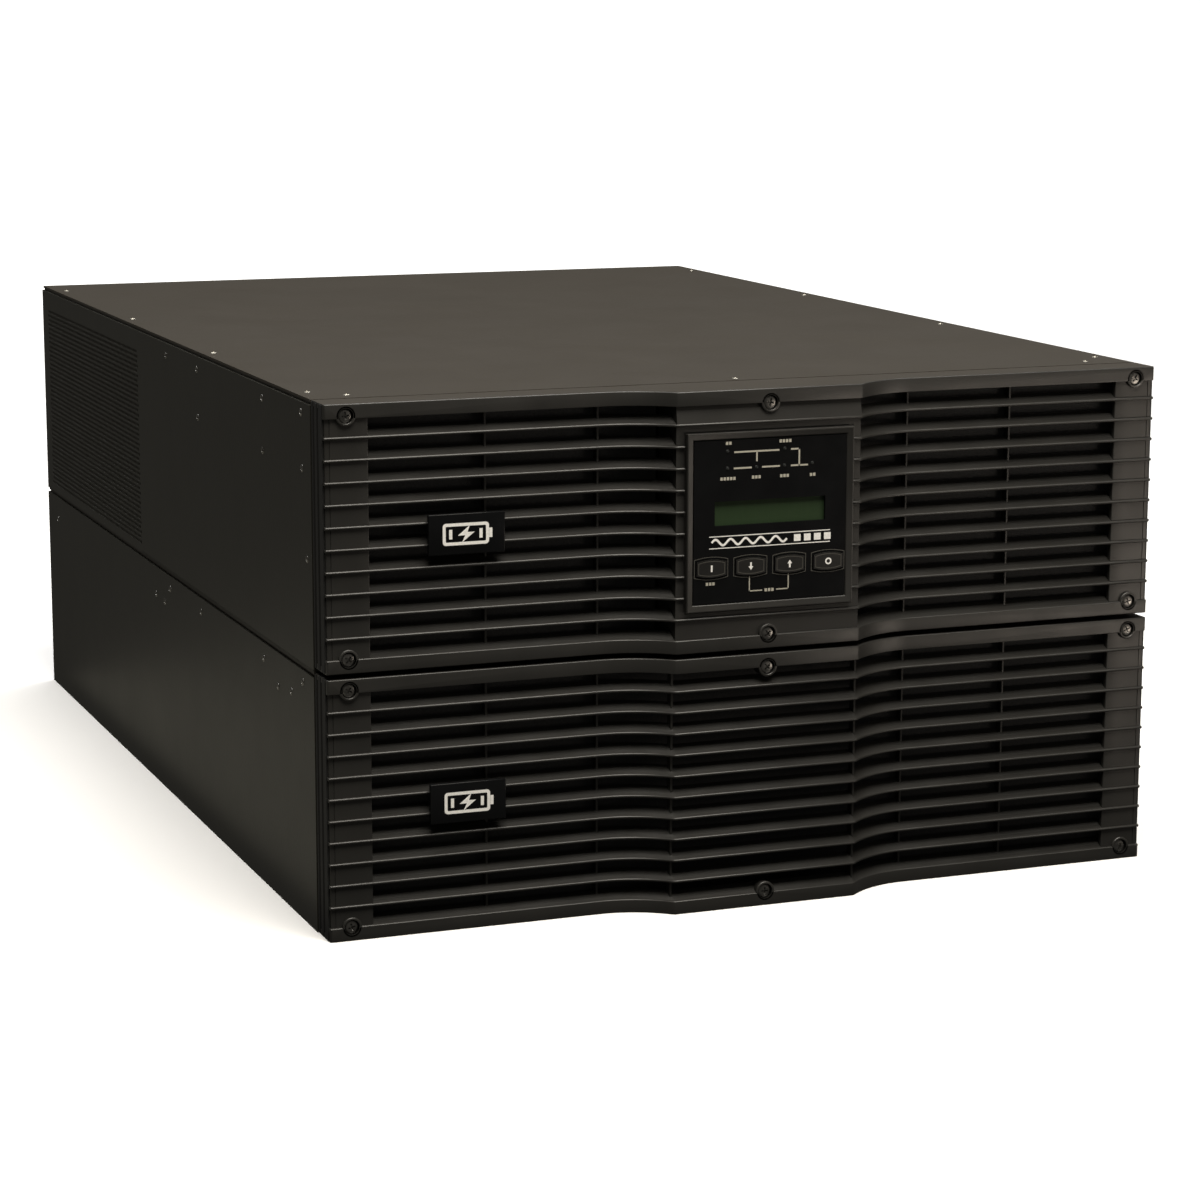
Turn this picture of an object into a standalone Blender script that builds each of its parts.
"""A rackmount uninterruptible power supply: a 3U power module standing on a 3U battery module.

Run with: blender --background --python part.py
Metres, +Z up, front towards -Y. The origin is on the ground, under the middle of the whole stack.
Inside each module, y = 0 is the front plane of the steel chassis and z = 0 its underside.
"""

import math

import bmesh
import bpy
from mathutils import Matrix, Vector

# Driving dimensions
WIDTH = 0.4445
MODULE_HEIGHT = 0.1285
STACK_PITCH = 0.1311
CHASSIS_DEPTH = 0.618
SHEET = 0.0012
SIDE_TOP = MODULE_HEIGHT - 0.0025
GAP = 0.0003
CLEAR = 0.0005
POWER_BASE = MODULE_HEIGHT + GAP - STACK_PITCH
BATTERY_BASE = 0.0
REAR_HARDWARE = 0.0168
COVER_LIP = 0.010
COVER_INSET = 0.0008
ROUND_SIDES = 24

# Bezel, seen from above: flat wings, a hollow flare, then a raised centre
WING_FRONT = -0.0195
CENTRE_FRONT = -0.0335
CENTRE_HALF = 0.0490
FLARE_RUN = 0.0343
FLARE_STEPS = 4
BEZEL_WALL = 0.0026
BEZEL_INSET = 0.0003

# Bezel, seen from the front
LOUVRE_PITCH = 0.01062
LOUVRE_COUNT = 11
LOUVRE_FIRST = 0.0068
LOUVRE_EDGE = 0.0011
LOUVRE_DEPTH = 0.0100
LOUVRE_RISE = 0.0046
TOP_BAND = 0.1215
COLUMN_INNER = 0.1995
RECESS = 0.0015
RIB_WIDTH = 0.0013
RIB_SETBACK = 0.0035
RIB_DEPTH = 0.0085
RIB_WING = 0.083

# Screws that hold the bezels
WING_SCREW_X = 0.2105
WING_SCREW_Z = (0.0066, 0.1228)
CENTRE_SCREW_Z = (0.0072, 0.1216)
BOSS_RADIUS = 0.0052
BOSS_SIDES = 8
HEAD_RADIUS = 0.0031
HEAD_HEIGHT = 0.0019
SHANK_RADIUS = 0.0017
SCREW_HOLE_RADIUS = 0.0021
COUNTERBORE_RADIUS = 0.0037
COUNTERBORE_DEPTH = 0.0027
SCREW_REACH = 0.0050

# Control panel
PANEL_HALF = 0.0443
PANEL_LOW = 0.0204
PANEL_HIGH = 0.1081
RIM_WIDTH = 0.0035
RIM_BACK_SHARE = 0.6
RIM_FRONT = -0.0352
PLATE_FRONT = -0.0342
PLATE_THICK = 0.0016
LEDGE_WIDTH = 0.0012
LCD_HALF = 0.0295
LCD_LOW = 0.0624
LCD_HIGH = 0.0744
BUTTON_X = {"button_on": -0.0312, "button_down": -0.0104, "button_up": 0.0104, "button_off": 0.0312}
BUTTON_Z = 0.0418
BUTTON_HALF_WIDTH = 0.0078
BUTTON_HALF_HEIGHT = 0.0045
BUTTON_BULGE = 0.0011
BUTTON_PROUD = 0.0008
BUTTON_TRAVEL = 0.0008
SWITCH_HEIGHT = 0.0020
BOARD_FRONT = -0.0245
BOARD_THICK = 0.0016

# Badge plates on the left wings
BADGE_X = -0.1522
BADGE_Z = 0.0643
BADGE_SIZE = (0.0384, 0.0026, 0.0197)

# Rear of the power module
FAN_SIZE = 0.080
FAN_THICK = 0.0254
FAN_BORE = 0.038
FAN_X = (0.0, 0.086, 0.172)
FAN_Z = 0.0830
ROTOR_RADIUS = 0.0362
ROTOR_HUB = 0.0170
ROTOR_BLADES = 7
BREAKER_SIZE = (0.036, 0.030, 0.028)
TOGGLE_TILT = math.radians(20)
CONNECTOR_SIZE = (0.048, 0.030, 0.022)
CONNECTOR_MOUTH = (0.038, 0.012, 0.012)
SOCKET_X = (-0.085, -0.165)
SOCKET_NECK = 0.0195
SOCKET_FACE = 0.0235
POWER_ROW_Z = 0.0215
BATTERY_ROW_Z = 0.0640
INPUT_BREAKER_X = 0.190
POWER_CONNECTOR_X = 0.130
BATTERY_BREAKER_X = 0.150
BATTERY_CONNECTOR_X = (0.060, -0.030)
PORT_X = (0.066, 0.098)
PORT_Z = (0.0150, 0.0280)

# Inside the power module
FIN_COUNT = 9
FIN_PITCH = 0.0080
FIN_THICK = 0.0016
FIN_TIP = 0.062
HEATSINK_BASE = 0.0060
HEATSINK_LENGTH = 0.30
CHOKE_RING = 0.026
CHOKE_WIRE = 0.013

# Battery trays
TRAY_WIDTH = 0.2185
TRAY_LENGTH = 0.464
TRAY_FRONT = 0.0030
TRAY_FLOOR = 0.0128
TRAY_SIDE_HEIGHT = 0.030
TRAY_FACE_HEIGHT = 0.1005
TRAY_CENTRE = 0.1102
TRAY_SHEET = 0.0010
TRAY_WALL = 0.0012
CELL_LONG = 0.151
CELL_WIDE = 0.0645
CELL_HIGH = 0.094


def front_outline():
    """Half of the bezel's front line from the flare's foot to the raised corner, as (x, y) with x > 0."""
    sweep = 2 * math.atan2(WING_FRONT - CENTRE_FRONT, FLARE_RUN)
    radius = FLARE_RUN / math.sin(sweep)
    foot = CENTRE_HALF + FLARE_RUN
    points = []
    for step in range(FLARE_STEPS + 1):
        angle = sweep * step / FLARE_STEPS
        x = foot - radius * math.sin(angle)
        y = WING_FRONT - radius * (1 - math.cos(angle))
        points.append((x, y))
    return points


def front_line(half_width):
    """The bezel's whole front line from -half_width to +half_width."""
    right = [(half_width, WING_FRONT)] + front_outline()
    left = [(-x, y) for x, y in right]
    return left + right[::-1]


# Shapes added to a bmesh


def add_box(bm, low, high):
    low, high = Vector(low), Vector(high)
    size = high - low
    matrix = Matrix.Translation((low + high) / 2) @ Matrix.Diagonal((*size, 1))
    bmesh.ops.create_cube(bm, size=1, matrix=matrix)


def add_loft(bm, sections):
    """A closed solid through equal loops of points, capped at both ends."""
    rings = [[bm.verts.new(point) for point in loop] for loop in sections]
    count = len(rings[0])
    for first, second in zip(rings, rings[1:]):
        for i in range(count):
            j = (i + 1) % count
            bm.faces.new((first[i], first[j], second[j], second[i]))
    bm.faces.new(rings[0][::-1])
    bm.faces.new(rings[-1])


def add_prism(bm, outline, low, high, axis="z"):
    """An outline extruded along an axis. Its points are the other two coordinates, in x, y, z order."""
    place = {
        "x": lambda p, at: (at, p[0], p[1]),
        "y": lambda p, at: (p[0], at, p[1]),
        "z": lambda p, at: (p[0], p[1], at),
    }[axis]
    add_loft(bm, [[place(p, at) for p in outline] for at in (low, high)])


def add_turned(bm, profile, sides, centre=(0, 0, 0), axis="y"):
    """A turned solid from (radius, height) pairs along an axis."""
    quarter = math.pi / 2
    turn = {"x": Matrix.Rotation(quarter, 4, "Y"), "y": Matrix.Rotation(-quarter, 4, "X"), "z": Matrix()}
    matrix = Matrix.Translation(centre) @ turn[axis]
    sections = []
    for radius, height in profile:
        angles = [2 * math.pi * (i + 0.5) / sides for i in range(sides)]
        loop = [matrix @ Vector((radius * math.cos(a), radius * math.sin(a), height)) for a in angles]
        sections.append(loop)
    add_loft(bm, sections)


def add_cylinder(bm, centre, radius, length, sides, axis="y"):
    add_turned(bm, [(radius, 0), (radius, length)], sides, centre, axis)


# Objects


def make_material(name, colour, roughness, metallic=0.0):
    material = bpy.data.materials.new(name)
    material.use_nodes = True
    shader = material.node_tree.nodes["Principled BSDF"]
    shader.inputs["Base Color"].default_value = (*colour, 1)
    shader.inputs["Roughness"].default_value = roughness
    shader.inputs["Metallic"].default_value = metallic
    return material


def make_object(name, bm, parent, material=None, location=(0, 0, 0)):
    bmesh.ops.recalc_face_normals(bm, faces=bm.faces)
    mesh = bpy.data.meshes.new(name)
    bm.to_mesh(mesh)
    bm.free()
    obj = bpy.data.objects.new(name, mesh)
    obj.parent = parent
    obj.location = location
    bpy.context.scene.collection.objects.link(obj)
    if material:
        mesh.materials.append(material)
    return obj


def combine(obj, bm, operation):
    """Cuts or joins the solids of a bmesh, which don't overlap each other, with a Boolean modifier."""
    count = len(obj.modifiers)
    tool = make_object(f"{obj.name}_tool_{count}", bm, obj.parent, location=obj.location)
    tool.hide_render = True
    tool.display_type = "WIRE"
    modifier = obj.modifiers.new(f"{operation.lower()}_{count}", "BOOLEAN")
    modifier.operation = operation
    modifier.object = tool


def cut(obj, bm):
    combine(obj, bm, "DIFFERENCE")


def join(obj, bm):
    combine(obj, bm, "UNION")


def smooth(obj, degrees=35):
    obj.data.shade_smooth()
    obj.data.set_sharp_from_angle(angle=math.radians(degrees))


def make_empty(name, parent=None, location=(0, 0, 0)):
    empty = bpy.data.objects.new(name, None)
    empty.parent = parent
    empty.location = location
    bpy.context.scene.collection.objects.link(empty)
    return empty


def box_object(name, low, high, parent, material):
    """A box whose origin is its middle."""
    low, high = Vector(low), Vector(high)
    middle = (low + high) / 2
    bm = bmesh.new()
    add_box(bm, low - middle, high - middle)
    return make_object(name, bm, parent, material, middle)


# Bezels


def screw_places():
    """(name, x, z, front plane) of a bezel's six screws."""
    places = []
    for height, wing_z, centre_z in zip(("bottom", "top"), WING_SCREW_Z, CENTRE_SCREW_Z):
        places.append((f"{height}_left", -WING_SCREW_X, wing_z, WING_FRONT))
        places.append((f"{height}_centre", 0.0, centre_z, CENTRE_FRONT))
        places.append((f"{height}_right", WING_SCREW_X, wing_z, WING_FRONT))
    return places


def louvre_bm(half_width):
    """All louvre blades. Each leans back and up from its front edge and follows the bezel's front line."""
    bm = bmesh.new()
    line = front_line(half_width)
    for row in range(LOUVRE_COUNT):
        top = LOUVRE_FIRST + row * LOUVRE_PITCH
        section = (
            (0, top - LOUVRE_EDGE),
            (0, top),
            (LOUVRE_DEPTH, top + LOUVRE_RISE),
            (LOUVRE_DEPTH, top + LOUVRE_RISE - LOUVRE_EDGE),
        )
        add_loft(bm, [[(x, y + back, z) for back, z in section] for x, y in line])
    return bm


def rib_bm(rib_places):
    """Upright ribs behind the blades, at (x, front plane)."""
    bm = bmesh.new()
    for x, front in rib_places:
        low = (x - RIB_WIDTH / 2, front + RIB_SETBACK, LOUVRE_FIRST - 0.002)
        add_box(bm, low, (x + RIB_WIDTH / 2, front + RIB_SETBACK + RIB_DEPTH, TOP_BAND + 0.002))
    return bm


def window_outline(low_x, high_x, front_margin, back):
    """A strip of the plan that follows the bezel's front line between two x."""
    line = [(x, y) for x, y in front_line(high_x) if low_x < x < high_x]
    ends = [(low_x, front_plane(low_x)), *line, (high_x, front_plane(high_x))]
    front = [(x, y - front_margin) for x, y in ends]
    return front + [(x, y + back) for x, y in ends[::-1]]


def front_plane(x):
    """The y of the bezel's front line at x."""
    line = front_line(WIDTH / 2)
    for (x0, y0), (x1, y1) in zip(line, line[1:]):
        if x0 <= x <= x1:
            return y0 + (y1 - y0) * (x - x0) / (x1 - x0)
    raise ValueError("x is outside the bezel")


def bezel(name, parent, material, has_panel):
    """A louvred moulding: a shell with six screw bosses, open at the back."""
    half = WIDTH / 2
    bm = bmesh.new()
    outline = front_line(half) + [(half, -BEZEL_INSET), (-half, -BEZEL_INSET)]
    add_prism(bm, outline, 0, MODULE_HEIGHT)
    obj = make_object(name, bm, parent, material)

    bm = bmesh.new()
    inner = half - BEZEL_WALL
    cavity = [(x, y + BEZEL_WALL + RECESS) for x, y in front_line(inner)] + [(inner, CLEAR), (-inner, CLEAR)]
    add_prism(bm, cavity, BEZEL_WALL, MODULE_HEIGHT - BEZEL_WALL)
    cut(obj, bm)

    bm = bmesh.new()
    through = BEZEL_WALL + RECESS + CLEAR
    low, high = LOUVRE_FIRST - GAP / 2, TOP_BAND
    if has_panel:
        add_prism(bm, window_outline(-COLUMN_INNER, -CENTRE_HALF, CLEAR, through), low, high)
        add_prism(bm, window_outline(CENTRE_HALF, COLUMN_INNER, CLEAR, through), low, high)
        centre_low = (-CENTRE_HALF + CLEAR, CENTRE_FRONT - CLEAR, low)
        add_box(bm, centre_low, (CENTRE_HALF - CLEAR, CENTRE_FRONT + RECESS, high))
    else:
        add_prism(bm, window_outline(-COLUMN_INNER, COLUMN_INNER, CLEAR, through), low, high)
    for side in (-1, 1):
        x0, x1 = sorted((side * (COLUMN_INNER + CLEAR), side * (half + CLEAR)))
        add_box(bm, (x0, WING_FRONT - CLEAR, low), (x1, WING_FRONT + RECESS, high))
    cut(obj, bm)

    join(obj, louvre_bm(half - GAP))

    ribs = [(side * RIB_WING, WING_FRONT) for side in (-1, 1)]
    if not has_panel:
        ribs += [(side * (CENTRE_HALF + CLEAR), CENTRE_FRONT) for side in (-1, 1)]
    join(obj, rib_bm(ribs))

    if has_panel:
        bm = bmesh.new()
        reach = PANEL_HALF + GAP
        add_box(bm, (-reach, CENTRE_FRONT - 0.005, PANEL_LOW - GAP), (reach, 0.001, PANEL_HIGH + GAP))
        cut(obj, bm)

    bosses, bores = bmesh.new(), bmesh.new()
    for _, x, z, front in screw_places():
        lip = 0.0002
        add_cylinder(bosses, (x, front - lip, z), BOSS_RADIUS, -front + lip - 2 * BEZEL_INSET, BOSS_SIDES)
        seat = front + COUNTERBORE_DEPTH
        bore = [
            (COUNTERBORE_RADIUS, front - CLEAR - lip),
            (COUNTERBORE_RADIUS, seat),
            (SCREW_HOLE_RADIUS, seat),
            (SCREW_HOLE_RADIUS, CLEAR),
        ]
        add_turned(bores, bore, BOSS_SIDES, (x, 0, z))
    join(obj, bosses)
    cut(obj, bores)
    return obj


def bezel_screws(prefix, parent, material):
    """Six round-headed screws from the bosses' seats into the chassis flange."""
    for place, x, z, front in screw_places():
        seat = front + COUNTERBORE_DEPTH - GAP
        length = -seat + SCREW_REACH
        profile = [
            (HEAD_RADIUS * 0.7, -HEAD_HEIGHT),
            (HEAD_RADIUS, -HEAD_HEIGHT * 0.45),
            (HEAD_RADIUS, 0),
            (SHANK_RADIUS, 0),
            (SHANK_RADIUS, length),
        ]
        bm = bmesh.new()
        add_turned(bm, profile, 12)
        obj = make_object(f"{prefix}_screw_{place}", bm, parent, material, (x, seat, z))
        smooth(obj)


def badge(name, parent, material):
    """A plain rectangular plate on the louvre edges of the left wing."""
    w, d, h = BADGE_SIZE
    back = WING_FRONT - GAP
    low = (BADGE_X - w / 2, back - d, BADGE_Z - h / 2)
    high = (BADGE_X + w / 2, back, BADGE_Z + h / 2)
    box_object(name, low, high, parent, material)


# Control panel of the power module


def display_frame(parent, material):
    """A square tube with a raised rim and a ledge inside it."""
    tube_back = BOARD_FRONT + BOARD_THICK + 0.0020
    bm = bmesh.new()
    add_box(bm, (-PANEL_HALF, RIM_FRONT, PANEL_LOW), (PANEL_HALF, tube_back, PANEL_HIGH))
    obj = make_object("display_frame", bm, parent, material)
    ledge_front = PLATE_FRONT + PLATE_THICK + GAP
    ledge_back = ledge_front + 0.0015
    front, ledge, back = bmesh.new(), bmesh.new(), bmesh.new()
    for bm, inset, y0, y1 in (
        (front, RIM_WIDTH, RIM_FRONT - CLEAR, ledge_front),
        (ledge, RIM_WIDTH + LEDGE_WIDTH, ledge_front - CLEAR, ledge_back + CLEAR),
        (back, RIM_WIDTH * RIM_BACK_SHARE, ledge_back, tube_back + CLEAR),
    ):
        reach = PANEL_HALF - inset
        add_box(bm, (-reach, y0, PANEL_LOW + inset), (reach, y1, PANEL_HIGH - inset))
        cut(obj, bm)
    return obj


def barrel_outline(half_width, half_height, bulge, steps=4):
    """A key's outline: straight ends, and a long top and bottom edge that bulge out."""
    top = []
    for step in range(steps + 1):
        along = 2 * step / steps - 1
        top.append((along * half_width, half_height - bulge * along * along))
    return top[::-1] + [(x, -z) for x, z in top]


def display_plate(parent, material):
    """The black faceplate, with the display's window and four key holes."""
    reach = PANEL_HALF - RIM_WIDTH - GAP
    low, high = PANEL_LOW + RIM_WIDTH + GAP, PANEL_HIGH - RIM_WIDTH - GAP
    bm = bmesh.new()
    add_box(bm, (-reach, PLATE_FRONT, low), (reach, PLATE_FRONT + PLATE_THICK, high))
    obj = make_object("display_faceplate", bm, parent, material)
    bm = bmesh.new()
    before, behind = PLATE_FRONT - CLEAR, PLATE_FRONT + PLATE_THICK + CLEAR
    add_box(bm, (-LCD_HALF, before, LCD_LOW), (LCD_HALF, behind, LCD_HIGH))
    for x in BUTTON_X.values():
        hole = barrel_outline(BUTTON_HALF_WIDTH + GAP, BUTTON_HALF_HEIGHT + GAP, BUTTON_BULGE)
        add_prism(bm, [(x + u, BUTTON_Z + v) for u, v in hole], before, behind, "y")
    cut(obj, bm)


def buttons(parent, material):
    """Four keys, each with a collar behind the faceplate and a stem towards its switch."""
    cap_front = PLATE_FRONT - BUTTON_PROUD
    collar_front = PLATE_FRONT + PLATE_THICK + GAP - cap_front
    collar_back = collar_front + 0.0009
    stem_half, stem_gap = 0.002, 0.0001
    stem_back = BOARD_FRONT - SWITCH_HEIGHT - BUTTON_TRAVEL - stem_gap - cap_front
    reach_x, reach_z = BUTTON_HALF_WIDTH + 0.0005, BUTTON_HALF_HEIGHT + 0.0009
    for name, x in BUTTON_X.items():
        bm = bmesh.new()
        outline = barrel_outline(BUTTON_HALF_WIDTH, BUTTON_HALF_HEIGHT, BUTTON_BULGE)
        add_prism(bm, outline, 0, collar_back, "y")
        obj = make_object(name, bm, parent, material, (x, cap_front, BUTTON_Z))
        bm = bmesh.new()
        add_box(bm, (-reach_x, collar_front, -reach_z), (reach_x, collar_back, reach_z))
        join(obj, bm)
        bm = bmesh.new()
        add_box(bm, (-stem_half, collar_front + GAP, -stem_half), (stem_half, stem_back, stem_half))
        join(obj, bm)


def control_board(parent, material):
    """The panel's circuit board, with one switch behind each key and a ribbon connector at its back."""
    inset = RIM_WIDTH * RIM_BACK_SHARE + GAP
    reach = PANEL_HALF - inset
    back = BOARD_FRONT + BOARD_THICK
    bm = bmesh.new()
    add_box(bm, (-reach, BOARD_FRONT, PANEL_LOW + inset), (reach, back, PANEL_HIGH - inset))
    obj = make_object("control_board", bm, parent, material)
    switch_half, switch_front = 0.003, BOARD_FRONT - SWITCH_HEIGHT
    bm = bmesh.new()
    for x in BUTTON_X.values():
        low = (x - switch_half, switch_front, BUTTON_Z - switch_half)
        add_box(bm, low, (x + switch_half, BOARD_FRONT + CLEAR, BUTTON_Z + switch_half))
    ribbon_half, ribbon_low, ribbon_high, ribbon_deep = 0.015, 0.030, 0.038, 0.008
    add_box(bm, (-ribbon_half, back - CLEAR, ribbon_low), (ribbon_half, back + ribbon_deep, ribbon_high))
    join(obj, bm)


def lcd_module(parent, material):
    """The display's own glass and frame, between the faceplate's window and the board."""
    margin = 0.003
    front = PLATE_FRONT + PLATE_THICK + GAP
    low = (-LCD_HALF - margin, front, LCD_LOW - margin)
    high = (LCD_HALF + margin, BOARD_FRONT - GAP, LCD_HIGH + margin)
    box_object("lcd_module", low, high, parent, material)


# Sheet metal


def chassis(name, parent, material, base, front_holes, side_holes=()):
    """A folded tray, open at the top: floor, two sides and a front wall with its openings."""
    half = WIDTH / 2
    inner = half - SHEET
    bm = bmesh.new()
    section = [
        (-half, base), (half, base), (half, SIDE_TOP), (inner, SIDE_TOP),
        (inner, base + SHEET), (-inner, base + SHEET), (-inner, SIDE_TOP), (-half, SIDE_TOP),
    ]
    add_prism(bm, section, 0, CHASSIS_DEPTH, "y")
    obj = make_object(name, bm, parent, material)
    bm = bmesh.new()
    overlap = SHEET / 2
    add_box(bm, (-half + overlap, CLEAR / 5, base + overlap), (half - overlap, SHEET, SIDE_TOP - overlap))
    join(obj, bm)
    bm = bmesh.new()
    for x0, x1, z0, z1 in front_holes:
        add_box(bm, (x0, -CLEAR, z0), (x1, SHEET + CLEAR, z1))
    for _, screw_x, screw_z, _ in screw_places():
        add_cylinder(bm, (screw_x, -CLEAR, screw_z), SCREW_HOLE_RADIUS, SHEET + 2 * CLEAR, 12)
    for low, high in side_holes:
        add_box(bm, low, high)
    cut(obj, bm)
    return obj


def top_cover(name, parent, material):
    """A lid with short folded edges that hang inside the tray's sides."""
    wide = WIDTH / 2 - COVER_INSET
    half = WIDTH / 2 - SHEET - GAP
    inner = half - SHEET
    top = MODULE_HEIGHT
    shelf, low = top - SHEET, top - COVER_LIP
    bm = bmesh.new()
    section = [
        (-wide, shelf), (-half, shelf), (-half, low), (-inner, low), (-inner, shelf), (inner, shelf),
        (inner, low), (half, low), (half, shelf), (wide, shelf), (wide, top), (-wide, top),
    ]
    add_prism(bm, section, SHEET + GAP, CHASSIS_DEPTH, "y")
    return make_object(name, bm, parent, material)


def intake_slots():
    """Air intake slots in the power chassis's front wall, and the hole for the panel's ribbon cable."""
    rows, pitch, height, first = 5, 2 * LOUVRE_PITCH, 0.0130, 0.0115
    slots = [(-0.020, 0.020, 0.0280, 0.0400)]
    for row in range(rows):
        z = first + row * pitch
        slots += [(-0.195, -0.062, z, z + height), (0.062, 0.195, z, z + height)]
    return slots


def side_slots():
    """Rows of long vent slots through both sides of the power module, towards its rear."""
    rows, pitch, height, first = 12, 0.0102, 0.0040, 0.0030
    slots = []
    for side in (-1, 1):
        x0, x1 = sorted((side * (WIDTH / 2 + CLEAR), side * (WIDTH / 2 - 2 * SHEET)))
        for row in range(rows):
            z = first + row * pitch
            slots.append(((x0, 0.356, z), (x1, 0.596, z + height)))
    return slots


# Fans


def fan_frame(name, parent, material, x):
    """A square fan housing with a round duct and four spokes to the motor mount on its inner side."""
    half = FAN_SIZE / 2
    flat = half - 0.004
    outline = [
        (-flat, -half), (flat, -half), (half, -flat), (half, flat),
        (flat, half), (-flat, half), (-half, flat), (-half, -flat),
    ]
    bm = bmesh.new()
    add_prism(bm, outline, 0, FAN_THICK, "y")
    front = CHASSIS_DEPTH - SHEET - GAP - FAN_THICK
    obj = make_object(name, bm, parent, material, (x, front, FAN_Z))
    bm = bmesh.new()
    add_cylinder(bm, (0, -CLEAR, 0), FAN_BORE, FAN_THICK + 2 * CLEAR, ROUND_SIDES)
    cut(obj, bm)
    bm = bmesh.new()
    arm, reach = 0.0022, FAN_BORE + 0.0006
    cross = [
        (-arm, -reach), (arm, -reach), (arm, -arm), (reach, -arm), (reach, arm), (arm, arm), (arm, reach),
        (-arm, reach), (-arm, arm), (-reach, arm), (-reach, -arm), (-arm, -arm),
    ]
    turned = [((u - v) * math.sqrt(0.5), (u + v) * math.sqrt(0.5)) for u, v in cross]
    add_prism(bm, turned, 0.0004, 0.0030, "y")
    join(obj, bm)
    bm = bmesh.new()
    add_cylinder(bm, (0, 0.0002, 0), ROTOR_HUB, 0.0038, 16)
    join(obj, bm)
    return front


def fan_rotor(name, parent, material, x, frame_front):
    """A hub with swept blades. Its origin is on the axle's line."""
    start = 0.0046
    bm = bmesh.new()
    add_turned(bm, [(ROTOR_HUB, 0), (ROTOR_HUB, 0.0165), (ROTOR_HUB - 0.0015, 0.0180)], 16)
    obj = make_object(name, bm, parent, material, (x, frame_front + start, FAN_Z))
    bm = bmesh.new()
    for blade in range(ROTOR_BLADES):
        sections = []
        for radius, sweep, chord, pitch in (
            (ROTOR_HUB - 0.002, 0.0, 0.0075, 52),
            (0.027, 0.10, 0.0095, 42),
            (ROTOR_RADIUS, 0.22, 0.0115, 34),
        ):
            angle = 2 * math.pi * blade / ROTOR_BLADES + sweep
            tilt = math.radians(pitch)
            out = Vector((math.cos(angle), 0, math.sin(angle)))
            across = Vector((-math.sin(angle), 0, math.cos(angle)))
            along = across * math.cos(tilt) + Vector((0, math.sin(tilt), 0))
            thick = out.cross(along).normalized() * 0.0007
            middle = out * radius + Vector((0, 0.0088, 0))
            ends = (middle - along * chord, middle + along * chord)
            sections.append([ends[0] - thick, ends[1] - thick, ends[1] + thick, ends[0] + thick])
        add_loft(bm, sections)
    join(obj, bm)
    smooth(obj)


# Rear hardware


def connector(name, parent, material, x, z):
    """A battery connector: a block through the rear panel with an open mouth."""
    w, d, h = CONNECTOR_SIZE
    y0 = CHASSIS_DEPTH + REAR_HARDWARE - d
    bm = bmesh.new()
    add_box(bm, (-w / 2, 0, -h / 2), (w / 2, d, h / 2))
    obj = make_object(name, bm, parent, material, (x, y0, z))
    mw, md, mh = CONNECTOR_MOUTH
    bm = bmesh.new()
    add_box(bm, (-mw / 2, d - md, -mh / 2), (mw / 2, d + CLEAR, mh / 2))
    cut(obj, bm)


def breaker(name, parent, materials, x, z):
    """A circuit breaker in the rear panel, with a toggle that swings about a level axis."""
    w, d, h = BREAKER_SIZE
    y0 = CHASSIS_DEPTH - d + 0.0030
    bm = bmesh.new()
    add_box(bm, (-w / 2, 0, -h / 2), (w / 2, d, h / 2))
    obj = make_object(name, bm, parent, materials["socket"], (x, y0, z))
    mouth_x, mouth_z, mouth_depth = 0.0085, 0.0095, 0.0100
    bm = bmesh.new()
    add_box(bm, (-mouth_x, d - mouth_depth, -mouth_z), (mouth_x, d + CLEAR, mouth_z))
    cut(obj, bm)
    pivot = make_empty(f"{name}_pivot", parent, (x, y0 + d - 0.0030, z))
    drum_half, drum_radius = mouth_x - CLEAR, 0.0055
    bm = bmesh.new()
    add_cylinder(bm, (-drum_half, 0, 0), drum_radius, 2 * drum_half, 16, "x")
    toggle = make_object(f"{name}_toggle", bm, pivot, materials["toggle"])
    root, tip, root_half, tip_half, lever_half = -0.002, 0.0150, 0.0022, 0.0014, 0.0060
    lever = bmesh.new()
    outline = [(root, -root_half), (root, root_half), (tip, tip_half), (tip, -tip_half)]
    add_prism(lever, outline, -lever_half, lever_half, "x")
    join(toggle, lever)
    pivot.rotation_euler.x = TOGGLE_TILT


def rear_panel(name, parent, material, base, holes):
    """A flat steel rear panel with its openings. Its top corners clear the cover's folded edges."""
    half = WIDTH / 2 - SHEET - GAP
    low, high = base + SHEET + GAP, MODULE_HEIGHT - SHEET - GAP
    y1 = CHASSIS_DEPTH
    bm = bmesh.new()
    inner = half - SHEET - GAP
    step = MODULE_HEIGHT - COVER_LIP - GAP
    outline = [
        (-half, low), (half, low), (half, step), (inner, step), (inner, high), (-inner, high), (-inner, step),
        (-half, step),
    ]
    add_prism(bm, outline, y1 - SHEET, y1, "y")
    obj = make_object(name, bm, parent, material)
    bm = bmesh.new()
    for shape, size, x, z in holes:
        if shape == "round":
            add_cylinder(bm, (x, y1 - SHEET - CLEAR, z), size, SHEET + 2 * CLEAR, ROUND_SIDES)
        else:
            w, h = size[0] / 2 + GAP, size[1] / 2 + GAP
            add_box(bm, (x - w, y1 - SHEET - CLEAR, z - h), (x + w, y1 + CLEAR, z + h))
    cut(obj, bm)


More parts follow.
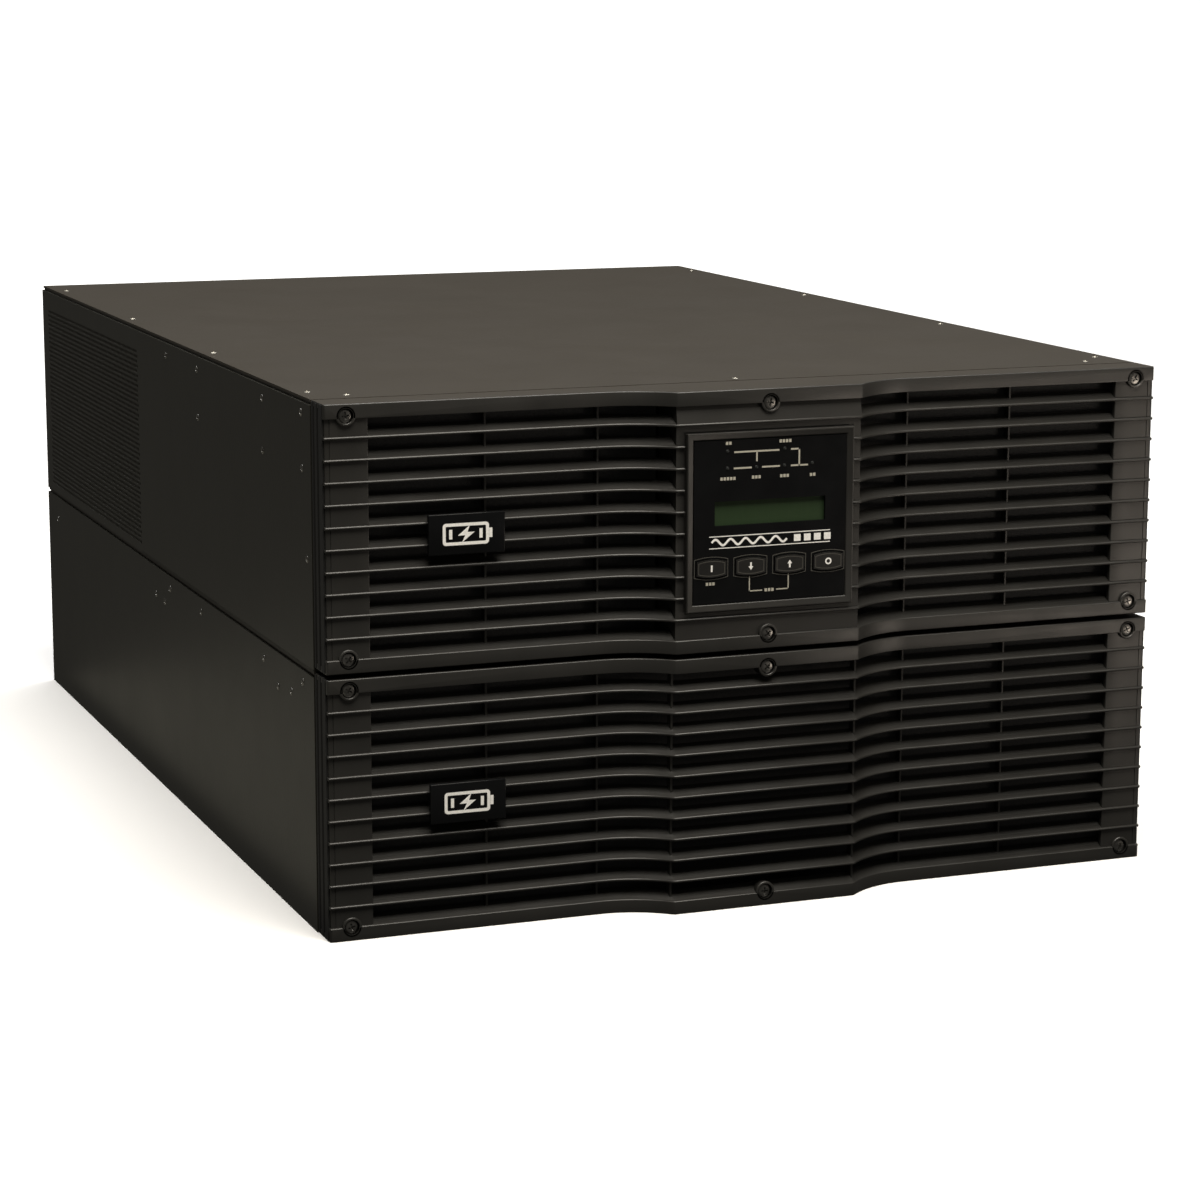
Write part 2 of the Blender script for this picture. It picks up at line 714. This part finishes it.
def locking_socket(name, parent, material, x, z):
    """A round locking outlet with three curved blade slots."""
    neck, depth, edge = 0.0135, 0.0172, 0.001
    profile = [
        (SOCKET_NECK, 0),
        (SOCKET_NECK, neck),
        (SOCKET_FACE, neck),
        (SOCKET_FACE, depth - edge),
        (SOCKET_FACE - edge, depth),
    ]
    bm = bmesh.new()
    add_turned(bm, profile, ROUND_SIDES)
    obj = make_object(name, bm, parent, material, (x, CHASSIS_DEPTH - 0.012, z))
    slot_inner, slot_outer, slot_depth = 0.0105, 0.0128, 0.010
    bm = bmesh.new()
    for slot in range(3):
        middle = math.pi / 2 + slot * 2 * math.pi / 3
        angles = [middle + math.radians(a) for a in (-24, -8, 8, 24)]
        outline = [(slot_outer * math.cos(a), slot_outer * math.sin(a)) for a in angles]
        outline += [(slot_inner * math.cos(a), slot_inner * math.sin(a)) for a in angles[::-1]]
        add_prism(bm, outline, depth - slot_depth, depth + CLEAR, "y")
    cut(obj, bm)
    smooth(obj)


# Insides


def heatsink(name, parent, material, x):
    """An extruded heatsink with upright fins."""
    outline = [(0, 0), ((FIN_COUNT - 1) * FIN_PITCH + FIN_THICK, 0)]
    for index in reversed(range(FIN_COUNT)):
        left = index * FIN_PITCH
        right = left + FIN_THICK
        if index < FIN_COUNT - 1:
            outline.append((right, HEATSINK_BASE))
        outline += [(right, FIN_TIP), (left, FIN_TIP)]
        if index > 0:
            outline.append((left, HEATSINK_BASE))
    bm = bmesh.new()
    add_prism(bm, outline, 0, HEATSINK_LENGTH, "y")
    make_object(name, bm, parent, material, (x, 0.235, 0.0420))


def power_board(parent, material):
    """The main circuit board on feet, with its bank of electrolytic capacitors."""
    low, high = Vector((-0.205, 0.095, 0.012)), Vector((0.205, 0.545, 0.014))
    foot, foot_radius, foot_inset = POWER_BASE + SHEET + GAP, 0.004, 0.010
    bm = bmesh.new()
    add_box(bm, low, high)
    obj = make_object("power_board", bm, parent, material)
    bm = bmesh.new()
    for x in (low.x + foot_inset, high.x - foot_inset):
        for y in (low.y + foot_inset, high.y - foot_inset):
            add_cylinder(bm, (x, y, foot), foot_radius, low.z + CLEAR - foot, 8, "z")
    first_x, first_y, pitch_x, pitch_y = -0.190, 0.125, 0.036, 0.040
    can = [(0.0150, 0), (0.0150, 0.0530), (0.0138, 0.0545)]
    for column in range(5):
        for row in range(2):
            place = (first_x + column * pitch_x, first_y + row * pitch_y, high.z - CLEAR)
            add_turned(bm, can, 12, place, "z")
    join(obj, bm)


def choke(parent, material):
    """A toroidal filter choke that stands on the main board."""
    steps, sides = 18, 8
    bm = bmesh.new()
    loops = []
    for step in range(steps):
        a = 2 * math.pi * step / steps
        loop = []
        for side in range(sides):
            b = 2 * math.pi * (side + 0.5) / sides
            r = CHOKE_RING + CHOKE_WIRE * math.cos(b)
            loop.append(bm.verts.new((r * math.cos(a), CHOKE_WIRE * math.sin(b), r * math.sin(a))))
        loops.append(loop)
    for step in range(steps):
        first, second = loops[step], loops[(step + 1) % steps]
        for side in range(sides):
            after = (side + 1) % sides
            bm.faces.new((first[side], first[after], second[after], second[side]))
    obj = make_object("filter_choke", bm, parent, material, (0.120, 0.150, 0.0545))
    smooth(obj, 60)


# Battery trays


def tray(side_name, side, parent, material):
    """A folded drawer: a floor, low sides and back, and a tall front with a turned-out pull lip."""
    half = TRAY_WIDTH / 2
    inner = half - TRAY_SHEET
    floor, rim = TRAY_FLOOR, TRAY_FLOOR + TRAY_SIDE_HEIGHT
    section = [
        (-half, floor), (half, floor), (half, rim), (inner, rim), (inner, floor + TRAY_SHEET),
        (-inner, floor + TRAY_SHEET), (-inner, rim), (-half, rim),
    ]
    bm = bmesh.new()
    add_prism(bm, section, 0, TRAY_LENGTH, "y")
    place = (side * TRAY_CENTRE, TRAY_FRONT, 0)
    obj = make_object(f"battery_tray_{side_name}", bm, parent, material, place)
    inset = 0.0002
    wide, low, top = half - GAP, floor + GAP, floor + TRAY_FACE_HEIGHT
    back = TRAY_LENGTH - inset
    bm = bmesh.new()
    add_box(bm, (-wide, inset, low), (wide, inset + TRAY_WALL, top))
    add_box(bm, (-wide, back - TRAY_WALL, low), (wide, back, rim - GAP))
    join(obj, bm)
    lip_half, lip_reach, lip_z, lip_thick = 0.035, 0.0090, top - 0.026, 0.0014
    bm = bmesh.new()
    add_box(bm, (-lip_half, -lip_reach, lip_z), (lip_half, 3 * inset, lip_z + lip_thick))
    join(obj, bm)


def cell_grooves(count, wide, long):
    """The seams between the cells of a block, down both sides and across the top."""
    half, deep, margin = 0.0006, 0.0020, 0.0025
    bm = bmesh.new()
    for index in range(1, count):
        at = index * long
        for u0, u1 in ((-CLEAR, deep), (wide - deep, wide + CLEAR)):
            add_box(bm, (u0, at - half, -CLEAR), (u1, at + half, CELL_HIGH + CLEAR))
        add_box(bm, (margin, at - half, CELL_HIGH - deep), (wide - margin, at + half, CELL_HIGH + CLEAR))
    return bm


def cell_tabs(count, wide, long):
    """Two terminal tabs near one long edge of each cell."""
    half, sunk, proud = 0.003, 0.001, 0.0045
    along, across = (0.22, 0.78), 0.2
    bm = bmesh.new()
    for index in range(count):
        for part in along:
            u, v = (wide * part, long * across) if wide > long else (wide * across, long * part)
            v += index * long
            add_box(bm, (u - half, v - half, CELL_HIGH - sunk), (u + half, v + half, CELL_HIGH + proud))
    return bm


def battery_rows(side_name, side, parent, material):
    """Ten sealed cells per tray, strapped as a row of seven and a column of three."""
    floor = TRAY_FLOOR + TRAY_SHEET + GAP
    y0 = TRAY_FRONT + TRAY_WALL + 3 * GAP
    left = side * TRAY_CENTRE - TRAY_WIDTH / 2 + TRAY_SHEET + GAP
    seven = left if side > 0 else left + CELL_WIDE + GAP
    three = left + CELL_LONG + GAP if side > 0 else left
    groups = (
        ("row", 7, seven, CELL_LONG, CELL_WIDE),
        ("column", 3, three, CELL_WIDE, CELL_LONG),
    )
    for kind, count, x, wide, long in groups:
        bm = bmesh.new()
        add_box(bm, (0, 0, 0), (wide, count * long, CELL_HIGH))
        obj = make_object(f"battery_{kind}_{side_name}", bm, parent, material, (x, y0, floor))
        cut(obj, cell_grooves(count, wide, long))
        join(obj, cell_tabs(count, wide, long))


def tray_rails(chassis_object):
    """Three rails on the battery chassis floor that the trays slide on."""
    half, start, end = 0.008, 0.010, 0.520
    bm = bmesh.new()
    for x in (-0.205, 0.0, 0.205):
        add_box(bm, (x - half, start, SHEET / 2), (x + half, end, TRAY_FLOOR - GAP))
    join(chassis_object, bm)


def clear_scene():
    for obj in list(bpy.data.objects):
        bpy.data.objects.remove(obj)


def power_front(power, colours):
    bezel("power_bezel", power, colours["plastic"], has_panel=True)
    bezel_screws("power_bezel", power, colours["screw"])
    badge("power_badge", power, colours["gloss"])
    display_frame(power, colours["plastic"])
    display_plate(power, colours["gloss"])
    lcd_module(power, colours["green"])
    control_board(power, colours["board"])
    buttons(power, colours["key"])


def power_insides(power, colours):
    power_board(power, colours["board"])
    heatsink("inverter_heatsink_left", power, colours["aluminium"], -0.150)
    heatsink("inverter_heatsink_right", power, colours["aluminium"], 0.070)
    choke(power, colours["copper"])
    for number, x in enumerate(FAN_X, 1):
        front = fan_frame(f"fan_{number}_frame", power, colours["socket"], x)
        fan_rotor(f"fan_{number}_rotor", power, colours["socket"], x, front)


def power_rear(power, colours):
    port = (PORT_X[1] - PORT_X[0], PORT_Z[1] - PORT_Z[0])
    holes = [("round", FAN_BORE, x, FAN_Z) for x in FAN_X]
    holes += [("round", SOCKET_NECK + GAP, x, FAN_Z) for x in SOCKET_X]
    holes += [
        ("square", (BREAKER_SIZE[0], BREAKER_SIZE[2]), INPUT_BREAKER_X, POWER_ROW_Z),
        ("square", (CONNECTOR_SIZE[0], CONNECTOR_SIZE[2]), POWER_CONNECTOR_X, POWER_ROW_Z),
        ("square", port, sum(PORT_X) / 2, sum(PORT_Z) / 2),
    ]
    rear_panel("power_rear_panel", power, colours["paint"], POWER_BASE, holes)
    for number, x in enumerate(SOCKET_X, 1):
        locking_socket(f"output_socket_{number}", power, colours["socket"], x, FAN_Z)
    breaker("input_breaker", power, colours, INPUT_BREAKER_X, POWER_ROW_Z)
    connector("power_battery_connector", power, colours["socket"], POWER_CONNECTOR_X, POWER_ROW_Z)
    low = (PORT_X[0], CHASSIS_DEPTH - 0.010, PORT_Z[0])
    high = (PORT_X[1], CHASSIS_DEPTH + 0.0060, PORT_Z[1])
    box_object("serial_port", low, high, power, colours["zinc"])
    face = CHASSIS_DEPTH + GAP
    slot_low, slot_high = (-0.036, face, 0.0060), (0.056, face + 0.0015, 0.0370)
    box_object("accessory_slot_cover", slot_low, slot_high, power, colours["paint"])
    box_low, box_high = (-0.213, face, 0.0060), (-0.050, CHASSIS_DEPTH + REAR_HARDWARE, 0.0470)
    box_object("terminal_cover", box_low, box_high, power, colours["paint"])


def battery_parts(battery, colours):
    paint = colours["paint"]
    bay = WIDTH / 2 - SHEET - GAP
    body = chassis("battery_chassis", battery, paint, BATTERY_BASE, [(-bay, bay, 0.0122, 0.1150)])
    tray_rails(body)
    top_cover("battery_top_cover", battery, paint)
    bezel("battery_bezel", battery, colours["plastic"], has_panel=False)
    bezel_screws("battery_bezel", battery, colours["screw"])
    badge("battery_badge", battery, colours["gloss"])
    for side_name, side in (("left", -1), ("right", 1)):
        tray(side_name, side, battery, paint)
        battery_rows(side_name, side, battery, colours["case"])
    block = (CONNECTOR_SIZE[0], CONNECTOR_SIZE[2])
    holes = [("square", (BREAKER_SIZE[0], BREAKER_SIZE[2]), BATTERY_BREAKER_X, BATTERY_ROW_Z)]
    holes += [("square", block, x, BATTERY_ROW_Z) for x in BATTERY_CONNECTOR_X]
    rear_panel("battery_rear_panel", battery, paint, BATTERY_BASE, holes)
    breaker("battery_breaker", battery, colours, BATTERY_BREAKER_X, BATTERY_ROW_Z)
    for number, x in enumerate(BATTERY_CONNECTOR_X, 1):
        connector(f"battery_connector_{number}", battery, colours["socket"], x, BATTERY_ROW_Z)


def build():
    clear_scene()
    total_depth = CHASSIS_DEPTH + REAR_HARDWARE - RIM_FRONT
    stack = make_empty("ups_stack", location=(0, -total_depth / 2 - RIM_FRONT, 0))
    power = make_empty("power_module", stack, (0, 0, STACK_PITCH))
    battery = make_empty("battery_module", stack)
    colours = {
        "paint": make_material("black_paint", (0.030, 0.028, 0.024), 0.45, 0.1),
        "plastic": make_material("bezel_plastic", (0.026, 0.024, 0.021), 0.5),
        "gloss": make_material("panel_black", (0.008, 0.008, 0.008), 0.25),
        "green": make_material("lcd_green", (0.020, 0.050, 0.018), 0.2),
        "key": make_material("key_rubber", (0.012, 0.012, 0.012), 0.5),
        "screw": make_material("black_screw", (0.020, 0.019, 0.018), 0.35, 0.8),
        "board": make_material("board_green", (0.020, 0.120, 0.050), 0.5),
        "aluminium": make_material("aluminium", (0.60, 0.60, 0.61), 0.35, 1.0),
        "copper": make_material("copper_winding", (0.55, 0.24, 0.11), 0.35, 1.0),
        "socket": make_material("socket_plastic", (0.020, 0.020, 0.021), 0.4),
        "toggle": make_material("toggle_plastic", (0.35, 0.35, 0.33), 0.4),
        "case": make_material("battery_case", (0.060, 0.062, 0.065), 0.5),
        "zinc": make_material("zinc_steel", (0.52, 0.52, 0.50), 0.4, 1.0),
    }
    chassis("power_chassis", power, colours["paint"], POWER_BASE, intake_slots(), side_slots())
    top_cover("power_top_cover", power, colours["paint"])
    power_front(power, colours)
    power_insides(power, colours)
    power_rear(power, colours)
    battery_parts(battery, colours)


build()
